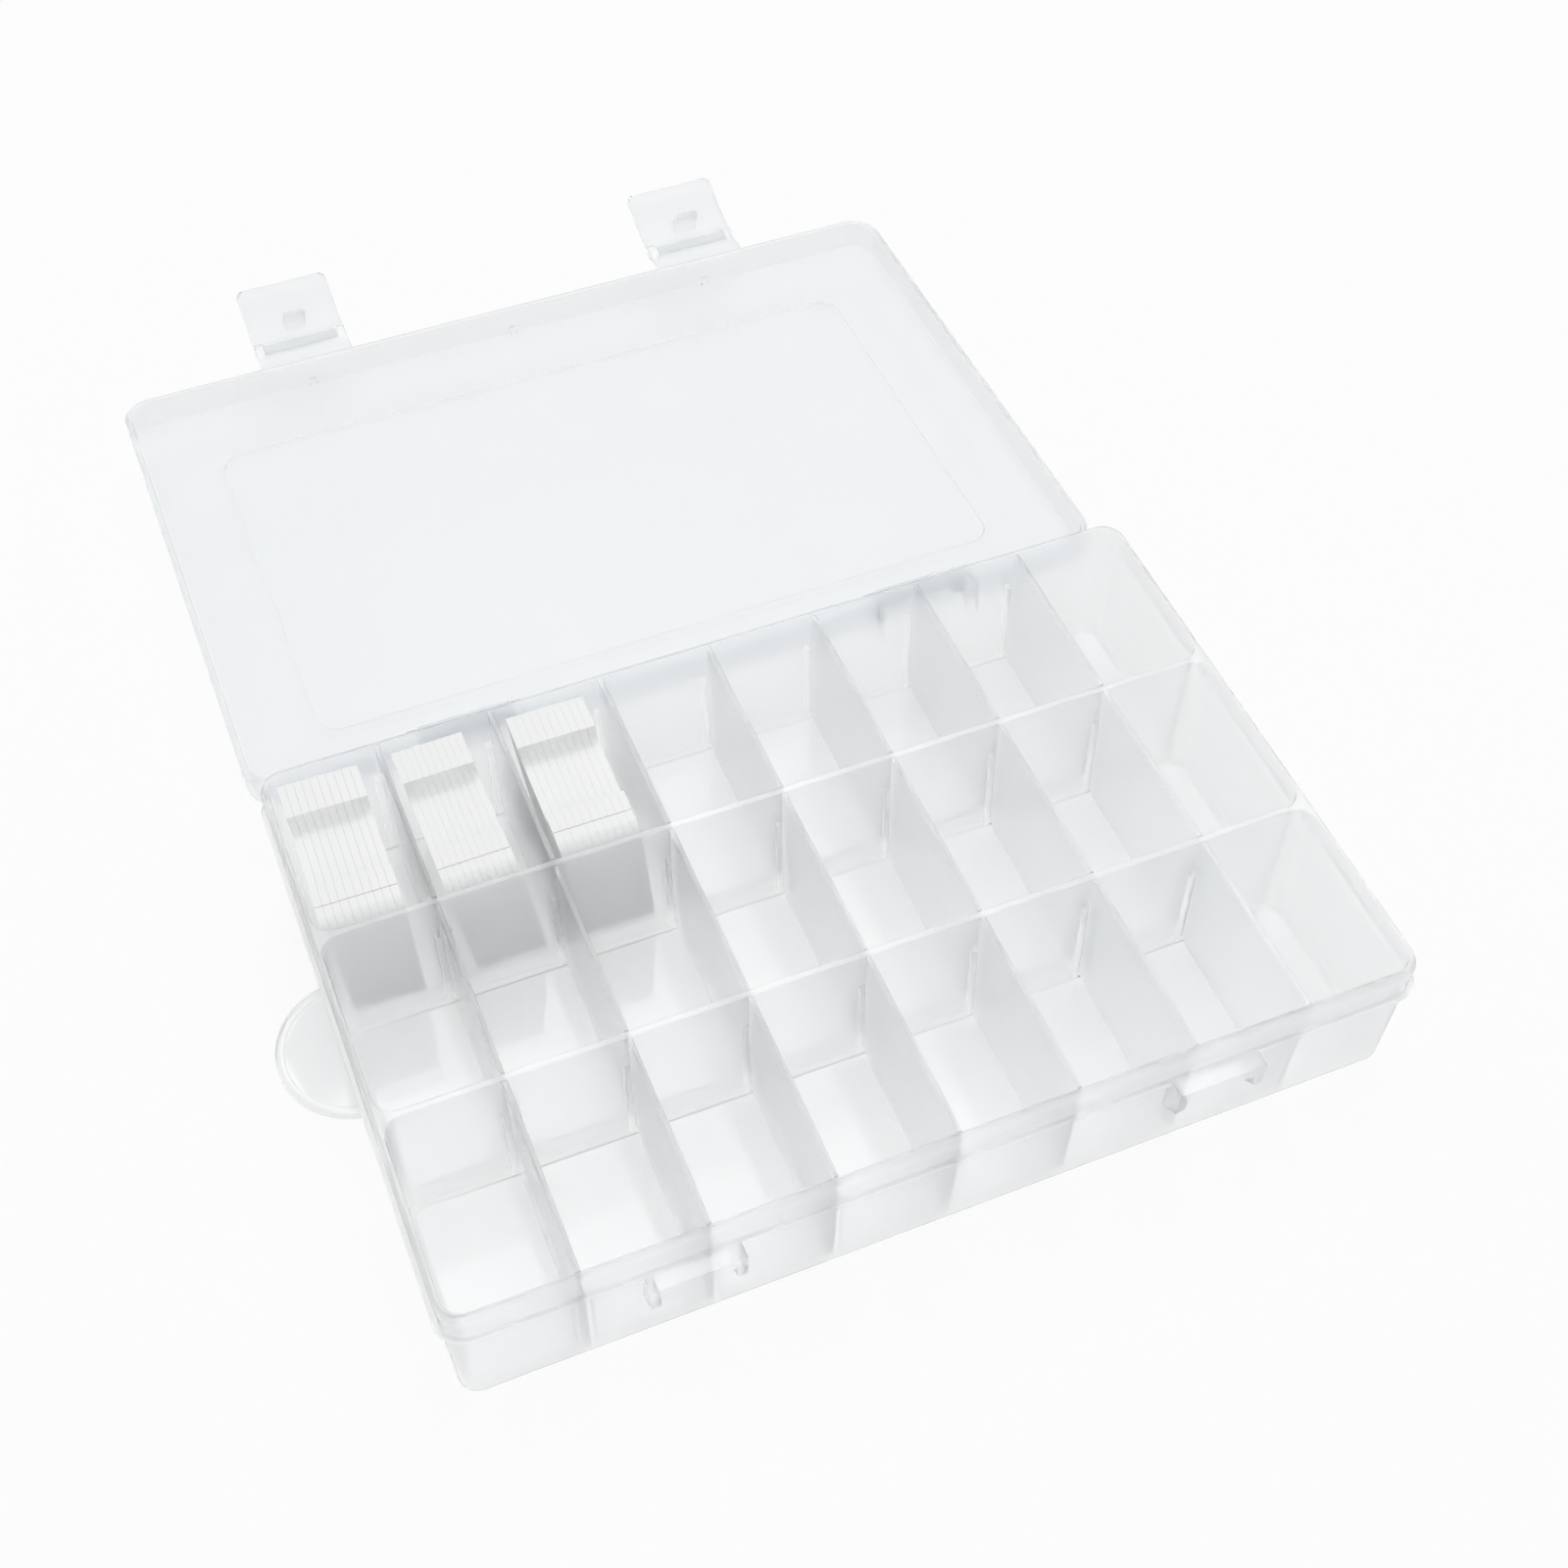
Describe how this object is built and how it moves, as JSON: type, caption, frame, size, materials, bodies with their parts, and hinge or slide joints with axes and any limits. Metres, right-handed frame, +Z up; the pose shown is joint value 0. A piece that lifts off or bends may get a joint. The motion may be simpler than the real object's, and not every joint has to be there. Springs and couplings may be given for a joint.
{
  "type": "embroidery thread box",
  "caption": "Shallow moulded box with three rows of compartments parted by lift-out sheets, stacks of thread bobbin cards, and a snap-hinged lid with two latches",
  "frame": {"origin": "middle of the tray's underside, on the surface the box stands on", "axes": "+X runs along the tray from its tab to its plain end, +Y from the latch side to the hinge side, +Z up"},
  "size_m": [0.2082, 0.2963, 0.0335],
  "materials": {
    "tray_plastic": "moulded polypropylene, milky white, satin, slightly translucent",
    "lid_plastic": "moulded polypropylene, milky white, satin",
    "latch_plastic": "moulded polypropylene, milky white, satin",
    "divider_plastic": "thin polypropylene sheet, milky white",
    "bobbin_plastic": "stiff plastic card, off-white"
  },
  "bodies": {
    "tray": {"tray": "tray_plastic"},
    "lid": {"lid": "lid_plastic"},
    "latch_left": {"latch_left": "latch_plastic"},
    "latch_right": {"latch_right": "latch_plastic"},
    "divider_front_1": {"divider_front_1": "divider_plastic"},
    "divider_front_2": {"divider_front_2": "divider_plastic"},
    "divider_front_3": {"divider_front_3": "divider_plastic"},
    "divider_front_4": {"divider_front_4": "divider_plastic"},
    "divider_front_5": {"divider_front_5": "divider_plastic"},
    "divider_front_6": {"divider_front_6": "divider_plastic"},
    "divider_front_7": {"divider_front_7": "divider_plastic"},
    "divider_middle_1": {"divider_middle_1": "divider_plastic"},
    "divider_middle_2": {"divider_middle_2": "divider_plastic"},
    "divider_middle_3": {"divider_middle_3": "divider_plastic"},
    "divider_middle_4": {"divider_middle_4": "divider_plastic"},
    "divider_middle_5": {"divider_middle_5": "divider_plastic"},
    "divider_middle_6": {"divider_middle_6": "divider_plastic"},
    "divider_middle_7": {"divider_middle_7": "divider_plastic"},
    "divider_back_1": {"divider_back_1": "divider_plastic"},
    "divider_back_2": {"divider_back_2": "divider_plastic"},
    "divider_back_3": {"divider_back_3": "divider_plastic"},
    "divider_back_4": {"divider_back_4": "divider_plastic"},
    "divider_back_5": {"divider_back_5": "divider_plastic"},
    "divider_back_6": {"divider_back_6": "divider_plastic"},
    "divider_back_7": {"divider_back_7": "divider_plastic"},
    "bobbins_left": {"bobbins_left": "bobbin_plastic"},
    "bobbins_middle": {"bobbins_middle": "bobbin_plastic"},
    "bobbins_right": {"bobbins_right": "bobbin_plastic"}
  },
  "joints": [
    {"name": "lid_hinge", "type": "hinge", "parent": "tray", "child": "lid", "pos_m": [0, 0.06875, 0.0235], "axis": [-1, 0, 0], "range_deg": [-182, 0]},
    {"name": "latch_left_hinge", "type": "hinge", "parent": "lid", "child": "latch_left", "pos_m": [-0.052, 0.21081, 0.01414], "axis": [-1, 0, 0], "range_deg": [-67, 20]},
    {"name": "latch_right_hinge", "type": "hinge", "parent": "lid", "child": "latch_right", "pos_m": [0.052, 0.21081, 0.01414], "axis": [-1, 0, 0], "range_deg": [-67, 20]},
    {"name": "divider_front_1_lift", "type": "slide", "parent": "tray", "child": "divider_front_1", "axis": [0, 0, 1], "range_m": [0, 0.05]},
    {"name": "divider_front_2_lift", "type": "slide", "parent": "tray", "child": "divider_front_2", "axis": [0, 0, 1], "range_m": [0, 0.05]},
    {"name": "divider_front_3_lift", "type": "slide", "parent": "tray", "child": "divider_front_3", "axis": [0, 0, 1], "range_m": [0, 0.05]},
    {"name": "divider_front_4_lift", "type": "slide", "parent": "tray", "child": "divider_front_4", "axis": [0, 0, 1], "range_m": [0, 0.05]},
    {"name": "divider_front_5_lift", "type": "slide", "parent": "tray", "child": "divider_front_5", "axis": [0, 0, 1], "range_m": [0, 0.05]},
    {"name": "divider_front_6_lift", "type": "slide", "parent": "tray", "child": "divider_front_6", "axis": [0, 0, 1], "range_m": [0, 0.05]},
    {"name": "divider_front_7_lift", "type": "slide", "parent": "tray", "child": "divider_front_7", "axis": [0, 0, 1], "range_m": [0, 0.05]},
    {"name": "divider_middle_1_lift", "type": "slide", "parent": "tray", "child": "divider_middle_1", "axis": [0, 0, 1], "range_m": [0, 0.05]},
    {"name": "divider_middle_2_lift", "type": "slide", "parent": "tray", "child": "divider_middle_2", "axis": [0, 0, 1], "range_m": [0, 0.05]},
    {"name": "divider_middle_3_lift", "type": "slide", "parent": "tray", "child": "divider_middle_3", "axis": [0, 0, 1], "range_m": [0, 0.05]},
    {"name": "divider_middle_4_lift", "type": "slide", "parent": "tray", "child": "divider_middle_4", "axis": [0, 0, 1], "range_m": [0, 0.05]},
    {"name": "divider_middle_5_lift", "type": "slide", "parent": "tray", "child": "divider_middle_5", "axis": [0, 0, 1], "range_m": [0, 0.05]},
    {"name": "divider_middle_6_lift", "type": "slide", "parent": "tray", "child": "divider_middle_6", "axis": [0, 0, 1], "range_m": [0, 0.05]},
    {"name": "divider_middle_7_lift", "type": "slide", "parent": "tray", "child": "divider_middle_7", "axis": [0, 0, 1], "range_m": [0, 0.05]},
    {"name": "divider_back_1_lift", "type": "slide", "parent": "tray", "child": "divider_back_1", "axis": [0, 0, 1], "range_m": [0, 0.05]},
    {"name": "divider_back_2_lift", "type": "slide", "parent": "tray", "child": "divider_back_2", "axis": [0, 0, 1], "range_m": [0, 0.05]},
    {"name": "divider_back_3_lift", "type": "slide", "parent": "tray", "child": "divider_back_3", "axis": [0, 0, 1], "range_m": [0, 0.05]},
    {"name": "divider_back_4_lift", "type": "slide", "parent": "tray", "child": "divider_back_4", "axis": [0, 0, 1], "range_m": [0, 0.05]},
    {"name": "divider_back_5_lift", "type": "slide", "parent": "tray", "child": "divider_back_5", "axis": [0, 0, 1], "range_m": [0, 0.05]},
    {"name": "divider_back_6_lift", "type": "slide", "parent": "tray", "child": "divider_back_6", "axis": [0, 0, 1], "range_m": [0, 0.05]},
    {"name": "divider_back_7_lift", "type": "slide", "parent": "tray", "child": "divider_back_7", "axis": [0, 0, 1], "range_m": [0, 0.05]},
    {"name": "bobbins_left_lift", "type": "slide", "parent": "tray", "child": "bobbins_left", "axis": [0, 0, 1], "range_m": [0, 0.05]},
    {"name": "bobbins_middle_lift", "type": "slide", "parent": "tray", "child": "bobbins_middle", "axis": [0, 0, 1], "range_m": [0, 0.05]},
    {"name": "bobbins_right_lift", "type": "slide", "parent": "tray", "child": "bobbins_right", "axis": [0, 0, 1], "range_m": [0, 0.05]}
  ]
}
